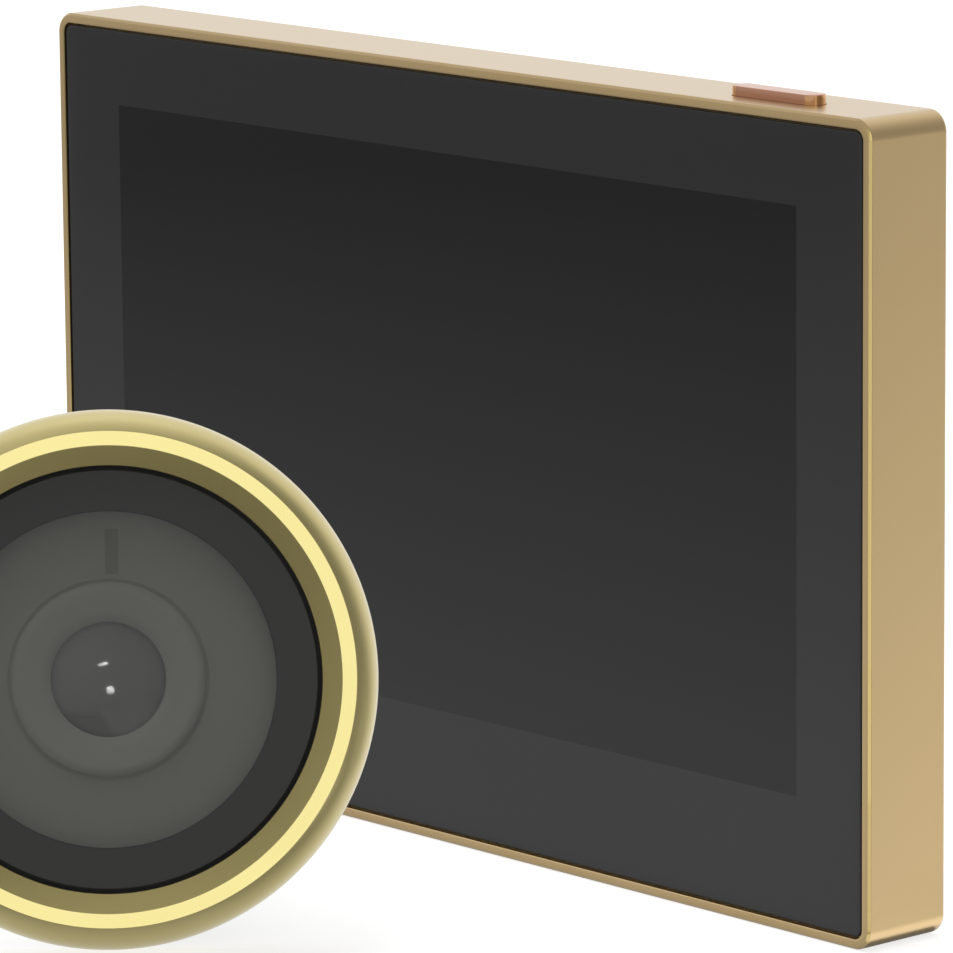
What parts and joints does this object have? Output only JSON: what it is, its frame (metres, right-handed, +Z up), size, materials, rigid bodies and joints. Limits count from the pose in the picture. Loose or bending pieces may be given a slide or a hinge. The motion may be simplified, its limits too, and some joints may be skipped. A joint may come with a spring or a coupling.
{
  "type": "peephole door camera",
  "caption": "Gold-rimmed indoor screen unit with a power button and wall bracket, and the round outdoor door camera with its telescoping door tube.",
  "frame": {"origin": "centre of the screen unit's bottom face, which is the face it stands on", "axes": "+Z up; the screen looks along -Y, and +X is to the viewer's right, the side with the power button"},
  "size_m": [0.1854, 0.1253, 0.1226],
  "materials": {
    "gold_frame": "satin gold anodised",
    "gold_bezel": "polished gold anodised",
    "gold_tube": "turned, gold anodised",
    "copper_button": "copper-coloured anodised, satin",
    "cover_glass": "gloss, black printed border",
    "face_glass": "gloss, smoked, black printed border",
    "lens_glass": "coated lens glass",
    "display": "dark display surface",
    "black_plastic": "fine spark-eroded texture",
    "grey_plastic": "dark grey satin",
    "white_plastic": "natural nylon",
    "battery_wrap": "foil pouch",
    "circuit_board": "green solder mask",
    "sheet_steel": "tinned sheet",
    "zinc_plate": "zinc plated",
    "screw_steel": "black nickel",
    "copper_foil": "foil",
    "lamp_resin": "dark clear resin",
    "rubber": "matt",
    "foam_pad": "closed foam"
  },
  "bodies": {
    "screen_unit": {"front_frame": "gold_frame", "cover_glass": "cover_glass", "glass_gasket": "rubber", "lcd_panel": "display", "backlight_tray": "sheet_steel", "chassis_plate": "black_plastic", "main_board": "circuit_board", "processor_shield": "sheet_steel", "radio_module": "sheet_steel", "radio_antenna": "copper_foil", "battery_pack": "battery_wrap", "speaker": "black_plastic", "microphone": "rubber", "charging_socket": "sheet_steel", "camera_socket": "white_plastic", "button_switch": "black_plastic", "back_cover": "black_plastic", "back_screws": "screw_steel", "board_screws": "screw_steel"},
    "power_button": {"power_button": "copper_button"},
    "bracket": {"wall_bracket": "zinc_plate", "adhesive_pads": "foam_pad"},
    "camera": {"bezel_ring": "gold_bezel", "bezel_gasket": "rubber", "camera_housing": "black_plastic", "inner_shield": "grey_plastic", "lens_trim_ring": "grey_plastic", "lens_barrel": "black_plastic", "front_lens": "lens_glass", "image_sensor": "display", "camera_board": "circuit_board", "infrared_lamps": "lamp_resin", "bell_switches": "black_plastic", "call_speaker": "black_plastic", "call_microphone": "sheet_steel", "bezel_screws": "screw_steel", "door_seal": "rubber", "barrel_flange": "zinc_plate", "threaded_barrel": "zinc_plate", "barrel_screws": "screw_steel"},
    "bell_face": {"face_glass": "face_glass", "face_carrier": "black_plastic"},
    "slip_washer": {"slip_washer": "rubber"},
    "door_tube": {"door_tube": "gold_tube", "indoor_flange": "gold_tube"}
  },
  "joints": [
    {"name": "power_button_press", "type": "slide", "parent": "screen_unit", "child": "power_button", "axis": [0, 0, -1], "range_m": [0, 0.0006], "stiffness_N_per_m": 1200, "springref_m": -0.0003},
    {"name": "bracket_unhook", "type": "slide", "parent": "screen_unit", "child": "bracket", "axis": [0, 0, -1], "range_m": [0, 0.008]},
    {"name": "camera_lift", "type": "slide", "parent": "screen_unit", "child": "camera", "axis": [0, 0, 1], "range_m": [0, 0.08]},
    {"name": "bell_press", "type": "slide", "parent": "camera", "child": "bell_face", "axis": [-0.7666, 0.6051, -0.2147], "range_m": [0, 0.0006], "stiffness_N_per_m": 3000, "springref_m": -0.0003},
    {"name": "tube_travel", "type": "slide", "parent": "camera", "child": "slip_washer", "axis": [0.7666, -0.6051, 0.2147], "range_m": [0, 0.0165]},
    {"name": "tube_spin", "type": "hinge", "parent": "slip_washer", "child": "door_tube", "pos_m": [0.00745, -0.07897, 0.03783], "axis": [0.7666, -0.6051, 0.2147], "range_deg": [0, 3960]}
  ],
  "couplings": [
    {"joint": "tube_travel", "follows": "tube_spin", "m_per_rad": 0.00023873}
  ]
}
